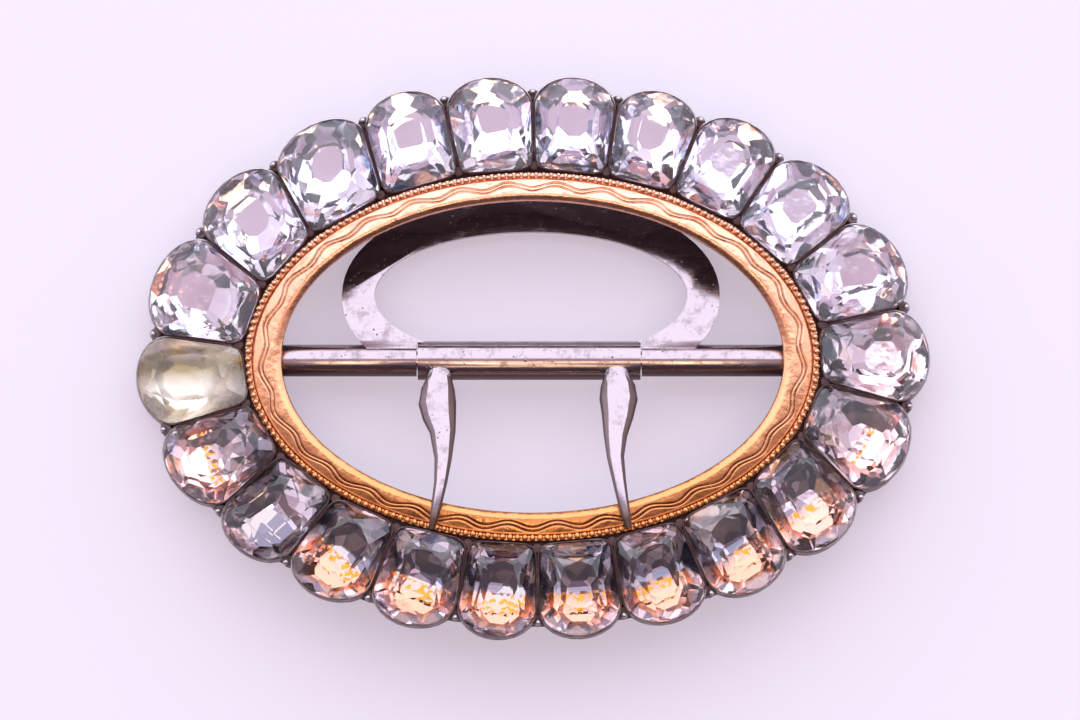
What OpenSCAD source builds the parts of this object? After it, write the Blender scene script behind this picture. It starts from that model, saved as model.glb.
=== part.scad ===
// Oval stone-set buckle: a ring of paste stones in closed silver collets round a beaded gold rim,
// with a steel spindle that carries a two-pronged tongue and a strap loop.
// The frame is arched along its length, as if bent round a cylinder that lies along Y.
// All sizes are in millimetres. The part lies on its back: +Z is the front, +X is the length.

/* [Frame] */
// Half length of the frame over its end stones
frame_half_l = 35; // [34.8:0.1:35.5]
// Half width of the frame over its side stones
frame_half_w = 24.7; // [24.5:0.1:25.2]
// Radius of the arch at the back of the frame
arch_r = 115; // [112:1:120]
// Depth of the collets, from the back to the stones' girdles
collet_h = 3.3; // [3.2:0.1:3.6]

/* [Stones] */
// Height of a stone above its girdle
crown_h = 1.7; // [1.2:0.1:2.2]
// Depth of a stone below its girdle
pavilion_h = 2.2; // [1.8:0.1:2.3]
// Width of the flat table as a share of the stone
table_share = 0.56; // [0.4:0.02:0.7]
// Gap between two neighbouring stones
stone_gap = 0.5; // [0.4:0.05:0.55]

/* [Gold rim] */
// Half length of the rim's outer edge
rim_half_l = 25.1; // [25:0.1:25.2]
// Half width of the rim's outer edge
rim_half_w = 16; // [15.9:0.1:16.1]
// Half length of the opening inside the rim
opening_half_l = 21.9; // [21.8:0.1:22]
// Half width of the opening inside the rim
opening_half_w = 13.6; // [13.5:0.1:13.7]
// Thickness of the rim's sheet
rim_t = 1; // [0.8:0.1:1]
// Height of the beaded edge above the rim's face
bead_h = 0.3; // [0.1:0.05:0.3]

/* [Hinge] */
// Diameter of the spindle
spindle_d = 1.6; // [1.4:0.1:1.6]
// Outer diameter of the tongue's knuckle
tongue_knuckle_d = 3.4; // [3:0.1:3.5]
// Outer diameter of the loop's knuckles
loop_knuckle_d = 2.8; // [2.4:0.1:2.9]
// Height of the spindle's axis above the surface that the part lies on
spindle_z = 4.45; // [4.4:0.05:4.5]

/* [Loop] */
// Half length of the loop
loop_half_l = 16.6; // [16.2:0.1:16.8]
// Half length of the loop's opening
loop_gap_half_l = 13.75; // [13.5:0.05:13.9]
// Thickness of the loop's plate
loop_t = 1; // [0.8:0.1:1]

/* [Hidden] */
first_stone = 5; // place of stone_01 in NODES

// The walls between the stones, clockwise from the top: where each meets the notch
// oval outside and the gold rim inside, as angles on those two ovals.
OUTER = 0;
INNER = 1;
stone_walls = [
    [90, 89.7],
    [77.1, 75.5],
    [63.9, 61.5],
    [49.7, 46],
    [32.7, 28.4],
    [11.8, 10.4],
    [-9.9, -6.8],
    [-31.2, -24],
    [-47.9, -42.3],
    [-62.4, -60.2],
    [-76.3, -74.4],
    [-89.2, -89.1],
    [-101.6, -102.6],
    [-115.3, -117.4],
    [-129.9, -132.4],
    [-145.1, -149.5],
    [-164.9, -166.3],
    [-185.9, -184.1],
    [-209, -203],
    [-227.2, -221],
    [-243.6, -239.4],
    [-256.6, -255.5]
];
n_stones = len(stone_walls);

// The prongs of the tongue, a row for each section from the knuckle to the tip.
PY = 0; // distance from the spindle's axis, towards the tip
PX = 1; // middle of the section, across
PW = 2; // width
PZ = 3; // height of the middle above the spindle's axis
PT = 4; // thickness
left_prong = [
    [0.4, -8.1, 1.5, 0.8, 1.1],
    [1.6, -8.15, 2.2, 1.25, 1.25],
    [2.7, -8.25, 2.95, 1.85, 1.25],
    [4, -8.3, 3.3, 2.55, 1.2],
    [5.2, -8.1, 2.95, 3.15, 1.15],
    [6.6, -7.8, 2.25, 3.75, 1.1],
    [9, -7.75, 1.5, 4.55, 1],
    [11, -7.95, 1.15, 4.95, 0.9],
    [12.7, -8.25, 0.95, 5.1, 0.8],
    [14, -8.5, 0.75, 5.1, 0.7],
    [15.1, -8.8, 0.5, 5.03, 0.5]
];
right_prong = [
    [0.3, 7.3, 1.5, 0.8, 1.1],
    [1.5, 7.35, 2.3, 1.3, 1.25],
    [2.4, 7.45, 3.05, 1.75, 1.25],
    [3.6, 7.5, 3.35, 2.4, 1.2],
    [5.2, 7.4, 2.75, 3.2, 1.15],
    [6.9, 7.2, 2.05, 3.9, 1.1],
    [8.8, 7.2, 1.5, 4.5, 1],
    [10.8, 7.5, 1.2, 4.95, 0.9],
    [12.5, 7.8, 1, 5.1, 0.8],
    [13.9, 8.1, 0.8, 5.15, 0.7],
    [15, 8.35, 0.55, 5.08, 0.5]
];
prong_sides = 12;
prong_square = 2.6; // squareness of a section: 2 is an ellipse
knuckle_left = -10.05; // ends of the tongue's knuckle
knuckle_right = 9.45;

wall_t = 0.3; // collet wall outside the glass
wall_rise = 0.15; // collet wall above the girdle
glass_gap = 0.1; // play between glass and metal
base_t = 0.9; // sheet that closes the collets at the back
cell_h = 0.4; // how far each collet's back stands out behind the sheet
cell_grow = -0.15; // that back against the stone's outline
bearer_h = 2.4; // ring under the gold rim, which holds the spindle
bearer_inset = 0.4; // how far the gold overhangs it inside
bearer_spread = 0.8; // how far it reaches under the collets
lug_d = 3; // boss round each end of the spindle
rim_gap = 0.03; // solder line between the bearer and the gold rim
glass_inset = 0.55; // from the gold rim to the stones' inner ends
notch_inset = 1.25; // from the stones' outer ends to the notches
shoulder_l = 1.4; // how far inside the notches a stone's sides turn round
corner_l = 0.9; // length of the rounding at a stone's inner corners
girdle_t = 0.25;
culet_share = 0.22; // flat at the bottom, as a share of the stone
grain_r = 0.55; // silver bead in each notch
grain_sink = 0.1; // how far its middle is below the girdles
post_r = 0.85; // post below the bead
bead_w = 0.6; // width of the beaded edge
pin_play = 0.05; // radial play of the knuckles on the spindle
seat_play = 0.02; // radial play of the spindle in its seats
end_play = 0.12; // gap at each end of a knuckle
spindle_half_l = 24.4; // the spindle ends in blind holes
loop_middle = [-0.15, 5.8]; // middle of the loop, across and away from the spindle
loop_half_w = 9.15;
loop_gap_half_w = 5.8;
loop_square = 2.1;
loop_bend_r = 8; // radius of the bend that starts the loop's slope
loop_bend_y = 0.8; // where the bend starts
loop_slope = 18; // degrees at which the loop then runs down, a whole number of the bend's facets
loop_rise = 1; // height of the loop's face above the spindle's axis
skin = 0.01; // thinnest slice
oval_steps = 72; // sides of an oval
arc_step = 15; // degrees between two points of a stone's arc
corner_steps = 2; // straight pieces of a stone's small corner
far = 60; // longer than anything

function unit(v) = v / norm(v);
function on_oval(a, b, angle) = [a * cos(angle), b * sin(angle)];
function oval(a, b) = [for (i = [0:oval_steps - 1]) on_oval(a, b, 360 * i / oval_steps)];
function squared(a, square) = sign(a) * pow(abs(a), 2 / square);
function squared_oval(a, b, square) =
    [for (p = oval(1, 1)) [a * squared(p.x, square), b * squared(p.y, square)]];
function curve(a, b, c, n) =
    [for (i = [0:n]) let (t = i / n) (1 - t) * (1 - t) * a + 2 * t * (1 - t) * b + t * t * c];
function shrunk(points, centre, share) = [for (p = points) centre + (p - centre) * share];

// The corners of stone k on the plan, where the middles of its walls meet its ends.
function wall(k) = stone_walls[k % n_stones];
function inner_corner(k) =
    on_oval(rim_half_l + glass_inset, rim_half_w + glass_inset, wall(k)[INNER]);
function outer_corner(k) =
    on_oval(frame_half_l - notch_inset, frame_half_w - notch_inset, wall(k)[OUTER]);
function stone_middle(k) =
    (outer_corner(k) + outer_corner(k + 1) + inner_corner(k) + inner_corner(k + 1)) / 4;
function stone_axis(k) =
    unit(outer_corner(k) + outer_corner(k + 1) - inner_corner(k) - inner_corner(k + 1));
// Across the wall, towards stone k.
function wall_normal(k) = let (d = unit(outer_corner(k) - inner_corner(k))) [d.y, -d.x];
// How far it is from the stone's middle, along its axis, to an oval round the frame.
function reach(k, a, b) =
    let (m = stone_middle(k), u = stone_axis(k),
         p = pow(u.x / a, 2) + pow(u.y / b, 2),
         q = m.x * u.x / (a * a) + m.y * u.y / (b * b),
         r = pow(m.x / a, 2) + pow(m.y / b, 2) - 1)
    (sqrt(q * q - p * r) - q) / p;

// The outline of stone k on the plan, made larger all round by grow: a keystone
// with small round corners inside and an elliptical arc outside.
function stone_outline(k, grow) =
    let (u = stone_axis(k), inset = stone_gap / 2 - grow,
         left = wall_normal(k) * inset, right = -wall_normal(k + 1) * inset,
         a = inner_corner(k) + left - u * grow, b = inner_corner(k + 1) + right - u * grow,
         c = outer_corner(k + 1) + right, d = outer_corner(k) + left,
         up_a = unit(d - a), up_b = unit(c - b), across = unit(b - a),
         s_a = d - up_a * shoulder_l, s_b = c - up_b * shoulder_l,
         m = (s_a + s_b) / 2, half = (s_b - s_a) / 2,
         apex = stone_middle(k) + u * (reach(k, frame_half_l - wall_t, frame_half_w - wall_t) + grow),
         rise = u * ((apex - m) * u))
    concat(
        curve(a + up_a * corner_l, a, a + across * corner_l, corner_steps),
        curve(b - across * corner_l, b, b + up_b * corner_l, corner_steps),
        [for (t = [0:arc_step:180]) m + half * cos(t) + rise * sin(t)]
    );

// The arch's slope at x, and the plan's points as seen on the plane that touches it there.
function arch_angle(x) = asin(x / (arch_r + collet_h));
function unrolled(points, x) = [for (p = points) [(p.x - x) / cos(arch_angle(x)), p.y]];
// The arch's axis is so deep that the outermost collet backs touch z = 0.
outermost = max([for (k = [0:n_stones - 1], p = stone_outline(k, cell_grow)) abs(p.x)]);
arch_z = -sqrt(pow(arch_r - cell_h, 2) - pow(outermost, 2));

// Puts its children on the arch at x, with the frame's back at z = 0.
module on_arch(x) {
    translate([0, 0, arch_z]) rotate([0, arch_angle(x), 0]) translate([0, 0, arch_r]) children();
}

// A flat shape carried up through the arch, between two depths measured from the frame's back.
module arched(from, to) {
    intersection() {
        translate([0, far / 2, arch_z]) rotate([90, 0, 0]) difference() {
            cylinder(r = arch_r + to, h = far, $fn = 360);
            cylinder(r = arch_r + from, h = 3 * far, center = true, $fn = 360);
        }
        linear_extrude(far) children();
    }
}

// An oval ring. Sizes are half lengths and half widths.
module oval_ring(outer, inner) {
    difference() {
        polygon(oval(outer.x, outer.y));
        polygon(oval(inner.x, inner.y));
    }
}

module stone_plans(grow) {
    for (k = [0:n_stones - 1]) polygon(stone_outline(k, grow));
}

// A bead of silver in the notch between two collets.
module grain(k) {
    p = outer_corner(k);
    on_arch(p.x) translate([0, p.y, collet_h - grain_sink]) sphere(r = grain_r, $fn = 24);
}

// A bar on the spindle's axis from x1 to x2.
module bar(d, x1, x2, sides = 64) {
    translate([x1, 0, spindle_z]) rotate([0, 90, 0]) cylinder(d = d, h = x2 - x1, $fn = sides);
}

// Closed collets on an arched sheet, with the ring that holds the gold rim and the spindle.
module setting() {
    sheet = [frame_half_l - notch_inset, frame_half_w - notch_inset];
    ring_out = [rim_half_l + bearer_spread, rim_half_w + bearer_spread];
    ring_in = [opening_half_l + bearer_inset, opening_half_w + bearer_inset];
    seat_half_l = spindle_half_l + end_play;
    lug_middle = (ring_in.x + ring_out.x) / 2;
    lug_l = ring_out.x - ring_in.x;
    color("silver") difference() {
        union() {
            arched(0, base_t) oval_ring(sheet, ring_in);
            arched(0, bearer_h) oval_ring(ring_out, ring_in);
            arched(-cell_h, base_t / 2) stone_plans(cell_grow);
            arched(0, collet_h + wall_rise) {
                stone_plans(wall_t);
                for (k = [0:n_stones - 1]) translate(outer_corner(k)) circle(r = post_r, $fn = 24);
            }
            for (k = [0:n_stones - 1]) grain(k);
            for (side = [-1, 1]) intersection() {
                arched(-lug_d, bearer_h) square(2 * far, center = true);
                bar(lug_d, side * lug_middle - lug_l / 2, side * lug_middle + lug_l / 2);
            }
        }
        arched(base_t, collet_h + 1) stone_plans(glass_gap);
        arched(bearer_h, collet_h + 1) polygon(oval(rim_half_l + rim_gap, rim_half_w + rim_gap));
        bar(spindle_d + 2 * seat_play, -seat_half_l, seat_half_l, 48);
    }
}

// The gold band, with its beaded edge as a plain raised step.
module gold_rim() {
    outer = [rim_half_l, rim_half_w];
    foot = bearer_h + rim_gap;
    color("gold") union() {
        arched(foot, foot + rim_t) oval_ring(outer, [opening_half_l, opening_half_w]);
        arched(foot + rim_t / 2, foot + rim_t + bead_h)
            oval_ring(outer, [rim_half_l - bead_w, rim_half_w - bead_w]);
    }
}

module spindle() {
    color("lightsteelblue") bar(spindle_d, -spindle_half_l, spindle_half_l, 48);
}

module knuckle_bore() {
    bar(spindle_d + 2 * pin_play, -far / 2, far / 2, 48);
}

// A prong swept through its sections, each set square across the prong's path.
module prong(rows) {
    n = len(rows);
    function path(i) = [rows[i][PX], -rows[i][PY], spindle_z + rows[i][PZ]];
    function ring(i) =
        let (along = unit(path(min(i + 1, n - 1)) - path(max(i - 1, 0))),
             side = unit(cross(along, [0, 0, 1])), up = cross(side, along))
        [for (s = [0:prong_sides - 1]) let (g = 360 * s / prong_sides)
            path(i) + side * rows[i][PW] / 2 * squared(cos(g), prong_square)
                + up * rows[i][PT] / 2 * squared(sin(g), prong_square)];
    first = [for (s = [1:prong_sides]) prong_sides - s];
    last = [for (s = [0:prong_sides - 1]) (n - 1) * prong_sides + s];
    walls = [for (i = [0:n - 2], s = [0:prong_sides - 1])
        let (a = i * prong_sides + s, b = i * prong_sides + (s + 1) % prong_sides)
        [a, b, b + prong_sides, a + prong_sides]];
    polyhedron([for (i = [0:n - 1]) each ring(i)], concat([first, last], walls));
}

module tongue() {
    color("gainsboro") difference() {
        union() {
            bar(tongue_knuckle_d, knuckle_left, knuckle_right);
            prong(left_prong);
            prong(right_prong);
        }
        knuckle_bore();
    }
}

// The sheet that the loop is cut from: flat at the spindle, then a bend and a straight slope.
module loop_sheet() {
    below = loop_bend_r - loop_t;
    translate([-far / 2, loop_bend_y, spindle_z + loop_rise - loop_bend_r]) {
        translate([0, -loop_bend_y, below]) cube([far, loop_bend_y, loop_t]);
        intersection() {
            rotate([0, 90, 0]) difference() {
                cylinder(r = loop_bend_r, h = far, $fn = 180);
                cylinder(r = below, h = 3 * far, center = true, $fn = 180);
            }
            rotate([90, 0, 90]) linear_extrude(far)
                polygon([[0, 0], [far * tan(loop_slope), far], [0, far]]);
        }
        rotate([-loop_slope, 0, 0]) translate([0, 0, below]) cube([far, far, loop_t]);
    }
}

// The loop's plate: its plan, cut from that sheet.
module loop_plate() {
    intersection() {
        linear_extrude(far) difference() {
            translate(loop_middle) polygon(squared_oval(loop_half_l, loop_half_w, loop_square));
            translate(loop_middle) polygon(oval(loop_gap_half_l, loop_gap_half_w));
            translate([-far, -far]) square([2 * far, far]);
        }
        loop_sheet();
    }
}

module loop() {
    loop_end = opening_half_l + bearer_inset - end_play;
    color("lightgray") difference() {
        union() {
            loop_plate();
            bar(loop_knuckle_d, -loop_end, knuckle_left - end_play);
            bar(loop_knuckle_d, knuckle_right + end_play, loop_end);
        }
        knuckle_bore();
        bar(tongue_knuckle_d + 2 * end_play, knuckle_left - end_play, knuckle_right + end_play);
    }
}

// A slice of stone k between two depths, with the outline shrunk to a share of its size.
module stone_slice(k, from, to, share = 1) {
    middle = stone_middle(k);
    flat = unrolled(stone_outline(k, 0), middle.x);
    on_arch(middle.x) translate([0, 0, from]) linear_extrude(to - from)
        polygon(shrunk(flat, [0, middle.y], share));
}

// A cut stone: flat table, sloping crown, thin girdle and deep pavilion.
module stone(k) {
    color([0.9, 0.9, 0.95]) hull() {
        stone_slice(k, collet_h - girdle_t, collet_h);
        stone_slice(k, collet_h + crown_h - skin, collet_h + crown_h, table_share);
        stone_slice(k, collet_h - pavilion_h, collet_h - pavilion_h + skin, culet_share);
    }
}

setting();
gold_rim();
spindle();
tongue();
loop();
for (k = [0:n_stones - 1])
    stone(k);
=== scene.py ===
"""The looks of an oval paste-set buckle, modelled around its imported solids.

The pieces are modelled in millimetres, as on a bench, and brought to metres when they are done.
Those that follow the frame's arch are modelled flat first, with Z as the height above the frame's
back, and are then carried up over the arch.
"""

import math
import random

import bmesh
import bpy
from bpy.props import FloatProperty, FloatVectorProperty, IntProperty, PointerProperty
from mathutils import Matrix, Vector


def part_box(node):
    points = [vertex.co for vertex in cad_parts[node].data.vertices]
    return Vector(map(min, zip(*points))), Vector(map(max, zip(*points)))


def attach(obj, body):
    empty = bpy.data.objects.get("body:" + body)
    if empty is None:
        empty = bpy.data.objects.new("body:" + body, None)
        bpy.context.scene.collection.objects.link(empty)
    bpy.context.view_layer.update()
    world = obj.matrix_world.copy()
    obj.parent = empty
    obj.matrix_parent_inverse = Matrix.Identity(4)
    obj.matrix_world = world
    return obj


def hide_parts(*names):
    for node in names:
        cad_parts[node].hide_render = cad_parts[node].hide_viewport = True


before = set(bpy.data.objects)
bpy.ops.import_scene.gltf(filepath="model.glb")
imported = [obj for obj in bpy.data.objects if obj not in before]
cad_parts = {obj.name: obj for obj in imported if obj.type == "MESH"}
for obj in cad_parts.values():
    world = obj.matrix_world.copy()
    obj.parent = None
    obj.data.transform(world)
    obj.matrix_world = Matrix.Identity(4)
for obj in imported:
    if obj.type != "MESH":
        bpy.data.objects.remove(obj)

bl_info = {
    "name": "Oval Paste Buckle",
    "version": (1, 0, 0),
    "blender": (4, 5, 0),
    "location": "3D View > Sidebar > Buckle",
    "description": "Finishes an oval buckle: collets, paste stones, gold rim, tongue and loop",
    "category": "Add Mesh",
}

MM = 0.001
STONES = sorted(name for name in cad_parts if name.startswith("stone_"))
UP = Vector((0, 0, 1))


def length(name, description, default):
    """A length property, in metres."""
    return FloatProperty(name=name, description=description, default=default, min=0, unit="LENGTH",
                         precision=5)


def tone(name, description, default):
    """A colour property, which goes above one for light."""
    return FloatVectorProperty(name=name, description=description, default=default, min=0, max=4,
                               soft_max=1, size=3, subtype="COLOR")


class BuckleArch(bpy.types.PropertyGroup):
    """The arch that the frame is bent over, and heights above the frame's back."""

    radius: length("Arch radius", "Radius of the frame's back, along its length", 0.115)
    rim_top: length("Rim top", "Height of the beaded edge above the frame's back", 0.00373)
    girdle: length("Girdle", "Height of the stones' girdles above the frame's back", 0.0033)
    sheet: length("Sheet", "Thickness of the sheet behind the collets", 0.0009)
    cell_back: length("Cell back", "How far a collet's back stands out behind the sheet", 0.00028)


class BuckleStones(bpy.types.PropertyGroup):
    """The cut stones and their glass and foil."""

    crown: length("Crown", "Height of a stone above its girdle", 0.0017)
    pavilion: length("Pavilion", "Depth of a stone below its girdle", 0.0022)
    girdle: length("Girdle", "Thickness of a stone's edge", 0.00025)
    seed: IntProperty(name="Cutting", description="Which set of small cutting errors", default=11)
    glass: tone("Glass", "Colour of the clear paste", (0.985, 0.955, 0.98))
    lilac: tone("Lilac", "Colour of the foil in a fresh stone's middle", (0.86, 0.80, 0.90))
    # Down the frame the copper middle is painted warm light.
    copper: tone("Copper", "Colour of the foil in an aged stone's middle", (0.84, 0.38, 0.245))


class BuckleSetting(bpy.types.PropertyGroup):
    """The silver collets, their backs and the ring under the gold rim."""

    wall: length("Wall", "Thickness of a collet outside the glass", 0.00026)
    grain: length("Grain", "Radius of the silver grain in each notch", 0.00027)
    post: length("Post", "Radius of the post under each grain", 0.00052)
    silver: tone("Silver", "Colour of worn silver", (0.46, 0.41, 0.42))
    # The tarnish is real, and is dark enough to be painted shade on the ring's inner wall as well.
    tarnish_and_shade: tone("Tarnish", "Colour of the tarnish in the recesses", (0.075, 0.032, 0.032))


class BuckleRim(bpy.types.PropertyGroup):
    """The gold band round the opening."""

    half_length: length("Half length", "Half length of the outer edge", 0.0252)
    half_width: length("Half width", "Half width of the outer edge", 0.0161)
    opening_half_length: length("Opening half length", "Half length of the opening", 0.0219)
    opening_half_width: length("Opening half width", "Half width of the opening", 0.0136)
    foot: length("Foot", "Height of the band's underside above the frame's back", 0.00243)
    beads: IntProperty(name="Beads", description="Beads round the edge", default=200, min=3)
    waves: IntProperty(name="Waves", description="Chased waves round the band", default=29, min=1)
    swing: length("Swing", "How far the wave swings to each side", 0.00026)
    # Painted light: the pale gold is the gold's colour towards +Y.
    pale: tone("Pale gold", "Colour of the gold where it is most worn", (0.87, 0.48, 0.34))
    gold: tone("Gold", "Colour of the deep gold", (0.62, 0.265, 0.10))
    # The pale ground is the grooves' share of the painted light towards +Y.
    pale_lit_ground: tone("Pale ground", "Colour of its worn grooves", (0.60, 0.29, 0.18))
    ground: tone("Ground", "Colour of the deep gold in its grooves", (0.17, 0.045, 0.018))


class BuckleSteel(bpy.types.PropertyGroup):
    """The spindle, the tongue and the loop."""

    edge: length("Edge", "Rounding of the edges", 0.00009)
    steel: tone("Steel", "Colour of the polished steel", (0.38, 0.305, 0.33))
    # The pit colour is also the painted shade on the prongs' tips and sides and the tubes' sides
    # towards -Y.
    pit_and_shade: tone("Pit", "Colour of the pits and stains", (0.10, 0.06, 0.055))


class BuckleStage(bpy.types.PropertyGroup):
    """The floor, the lights and the camera."""

    framed: length("Framed width", "Width that the camera takes in at the rim", 0.0946)
    lens: FloatProperty(name="Lens", description="Focal length in millimetres", default=180)
    floor: tone("Floor", "Colour of the floor", (0.365, 0.335, 0.365))
    glow: tone("Glow", "Light that comes up through the floor", (0.42, 0.37, 0.44))
    wall: tone("Wall", "Brightness of the bright wall", (1.8, 1.92, 2.25))
    room: tone("Room", "Brightness of the room overhead", (0.67, 0.50, 0.605))
    softbox: FloatProperty(name="Softbox", description="Power of the large light", default=1.3,
                           unit="POWER")
    lamp: FloatProperty(name="Lamp", description="Power of the small warm light", default=0.04,
                        unit="POWER")
    card: FloatProperty(name="Card", description="Power of the warm card behind the lamp",
                        default=0.26, unit="POWER")


def sizes(group):
    """One of the buckle's groups of sizes and colours."""
    return getattr(bpy.context.scene, group)


def in_mm(metres):
    """A length in millimetres."""
    return metres / MM


def clamped(share):
    """A share, held between none and all."""
    return max(0, min(1, share))


# Bench work

def rest():
    """Leaves edit mode with nothing selected."""
    if bpy.context.mode != "OBJECT":
        bpy.ops.object.mode_set(mode="OBJECT")
    bpy.ops.object.select_all(action="DESELECT")


def take(piece):
    """Makes this piece the only one selected."""
    rest()
    bpy.context.view_layer.objects.active = piece
    piece.select_set(True)


def edit(piece):
    """Opens one piece for editing, all of it selected."""
    take(piece)
    bpy.ops.object.mode_set(mode="EDIT")
    bpy.ops.mesh.select_mode(type="FACE")
    bpy.ops.mesh.select_all(action="SELECT")


def named(name):
    """Gives the piece that was just added its name, opened for editing."""
    piece = bpy.context.object
    piece.name = name
    piece.data.name = name
    if bpy.context.mode == "OBJECT":
        edit(piece)
    return piece


def choose(kind, test):
    """Selects the faces or edges of the piece in edit mode that pass a test."""
    bpy.ops.mesh.select_mode(type=kind)
    bpy.ops.mesh.select_all(action="DESELECT")
    mesh = bpy.context.edit_object.data
    shape = bmesh.from_edit_mesh(mesh)
    for part in (shape.faces if kind == "FACE" else shape.edges):
        if test(part):
            part.select_set(True)
    shape.select_flush_mode()
    bmesh.update_edit_mesh(mesh)


def scale(x, y, z):
    """Resizes what is selected about the origin."""
    bpy.ops.transform.resize(value=(x, y, z), center_override=(0, 0, 0))


def move(x, y, z):
    """Moves what is selected."""
    bpy.ops.transform.translate(value=(x, y, z))


def extrude(x=0, y=0, z=0):
    """Extrudes what is selected."""
    bpy.ops.mesh.extrude_region_move(TRANSFORM_OT_translate={"value": (x, y, z)})


def put_on(piece, modifier):
    """Applies a modifier."""
    take(piece)
    bpy.ops.object.modifier_apply(modifier=modifier.name)


def join(pieces, name):
    """Joins pieces into one."""
    take(pieces[0])
    for piece in pieces:
        piece.select_set(True)
    bpy.ops.object.join()
    pieces[0].name = name
    pieces[0].data.name = name
    return pieces[0]


def tidy_normals(piece):
    """Merges doubled points and turns every face outwards."""
    edit(piece)
    bpy.ops.mesh.remove_doubles(threshold=0.0005)
    bpy.ops.mesh.normals_make_consistent(inside=False)
    rest()


def smooth(piece, degrees):
    """Shades smooth, with edges sharper than an angle left crisp."""
    take(piece)
    bpy.ops.object.shade_smooth_by_angle(angle=math.radians(degrees))
    rest()


def solid_copy(node, name):
    """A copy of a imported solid, in millimetres, with its loose triangles merged."""
    piece = bpy.data.objects.new(name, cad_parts[node].data.copy())
    piece.data.name = name
    piece.data.materials.clear()
    bpy.context.scene.collection.objects.link(piece)
    edit(piece)
    scale(1 / MM, 1 / MM, 1 / MM)
    bpy.ops.mesh.remove_doubles(threshold=0.001)
    rest()
    return piece


def hand_over(piece, body, nodes, materials):
    """Brings a finished piece to metres and gives it to its body."""
    edit(piece)
    scale(MM, MM, MM)
    rest()
    for number, material in enumerate(materials):
        if number < len(piece.data.materials):
            piece.data.materials[number] = material
        else:
            piece.data.materials.append(material)
    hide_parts(*nodes)
    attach(piece, body)


# Node trees

def calc(tree, operation, *values):
    """Adds a Math node and returns its result."""
    step = tree.nodes.new("ShaderNodeMath")
    step.operation = operation
    for socket, value in zip(step.inputs, values):
        connect(tree, value, socket)
    return step.outputs[0]


def connect(tree, value, socket):
    """Links a socket to a result, or sets it to a plain value."""
    if isinstance(value, bpy.types.NodeSocket):
        tree.links.new(value, socket)
    else:
        socket.default_value = value


def axes(tree, where):
    """The X, Y and Z of a place."""
    split = tree.nodes.new("ShaderNodeSeparateXYZ")
    tree.links.new(where, split.inputs[0])
    return split.outputs


def shape_tree(name):
    """A geometry tree with its way in and out, and the point's X, Y and Z."""
    tree = bpy.data.node_groups.new(name, "GeometryNodeTree")
    tree.interface.new_socket("Geometry", in_out="INPUT", socket_type="NodeSocketGeometry")
    tree.interface.new_socket("Geometry", in_out="OUTPUT", socket_type="NodeSocketGeometry")
    way_in = tree.nodes.new("NodeGroupInput").outputs[0]
    way_out = tree.nodes.new("NodeGroupOutput").inputs[0]
    position = tree.nodes.new("GeometryNodeInputPosition").outputs[0]
    return tree, way_in, way_out, axes(tree, position)


def place(tree, shape, x, y, z):
    """Puts every point of a shape at x, y, z and returns the shape."""
    spot = tree.nodes.new("ShaderNodeCombineXYZ")
    for socket, value in zip(spot.inputs, (x, y, z)):
        connect(tree, value, socket)
    step = tree.nodes.new("GeometryNodeSetPosition")
    tree.links.new(shape, step.inputs["Geometry"])
    tree.links.new(spot.outputs[0], step.inputs["Position"])
    return step.outputs[0]


def run_tree(piece, tree):
    """Applies a geometry tree to a piece."""
    modifier = piece.modifiers.new(tree.name, "NODES")
    modifier.node_group = tree
    put_on(piece, modifier)


def arch_axis():
    """Height of the arch's axis, worked out from the top of the gold rim."""
    arch = sizes("buckle_arch")
    return in_mm(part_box("gold_rim")[1].z - arch.radius - arch.rim_top)


def carry_up(piece):
    """Carries a piece modelled flat up over the arch."""
    name = "carry up over the arch"
    tree = bpy.data.node_groups.get(name)
    if tree is None:
        tree, shape, out, (x, y, z) = shape_tree(name)
        radius = calc(tree, "ADD", z, in_mm(sizes("buckle_arch").radius))
        across = calc(tree, "SUBTRACT", calc(tree, "MULTIPLY", radius, radius),
                      calc(tree, "MULTIPLY", x, x))
        height = calc(tree, "ADD", calc(tree, "SQRT", across), arch_axis())
        tree.links.new(place(tree, shape, x, y, height), out)
    run_tree(piece, tree)


def arch_height(x, above):
    """Height of the arch at x, a given distance above the frame's back, in millimetres."""
    radius = in_mm(sizes("buckle_arch").radius) + above
    return arch_axis() + math.sqrt(radius * radius - x * x)


# Materials

def finish(name):
    """A material, its tree, its shader and the place on the piece."""
    material = bpy.data.materials.new(name)
    material.use_nodes = True
    tree = material.node_tree
    where = tree.nodes.new("ShaderNodeTexCoord").outputs["Object"]
    return material, tree, tree.nodes["Principled BSDF"], where


def stretched(tree, where, x, y, z):
    """The place on the piece, stretched along the axes."""
    mapping = tree.nodes.new("ShaderNodeMapping")
    mapping.inputs["Scale"].default_value = (x, y, z)
    tree.links.new(where, mapping.inputs["Vector"])
    return mapping.outputs[0]


def noise(tree, where, size, detail=3, roughness=0.5):
    """Noise whose patches have a size in metres."""
    texture = tree.nodes.new("ShaderNodeTexNoise")
    texture.inputs["Scale"].default_value = 1 / size
    texture.inputs["Detail"].default_value = detail
    texture.inputs["Roughness"].default_value = roughness
    tree.links.new(where, texture.inputs["Vector"])
    return texture.outputs["Fac"]


def scattered(tree, where, size):
    """Points scattered a size in metres apart, each with the angular patch round it."""
    texture = tree.nodes.new("ShaderNodeTexVoronoi")
    texture.inputs["Scale"].default_value = 1 / size
    tree.links.new(where, texture.inputs["Vector"])
    return texture.outputs


def spots(tree, where, size):
    """Distance to the nearest of scattered points, in shares of the size between them."""
    return scattered(tree, where, size)["Distance"]


def shards(tree, where, size):
    """A random share for each of the angular patches that a surface falls into."""
    split = tree.nodes.new("ShaderNodeSeparateColor")
    tree.links.new(scattered(tree, where, size)["Color"], split.inputs[0])
    return split.outputs[0]


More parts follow.
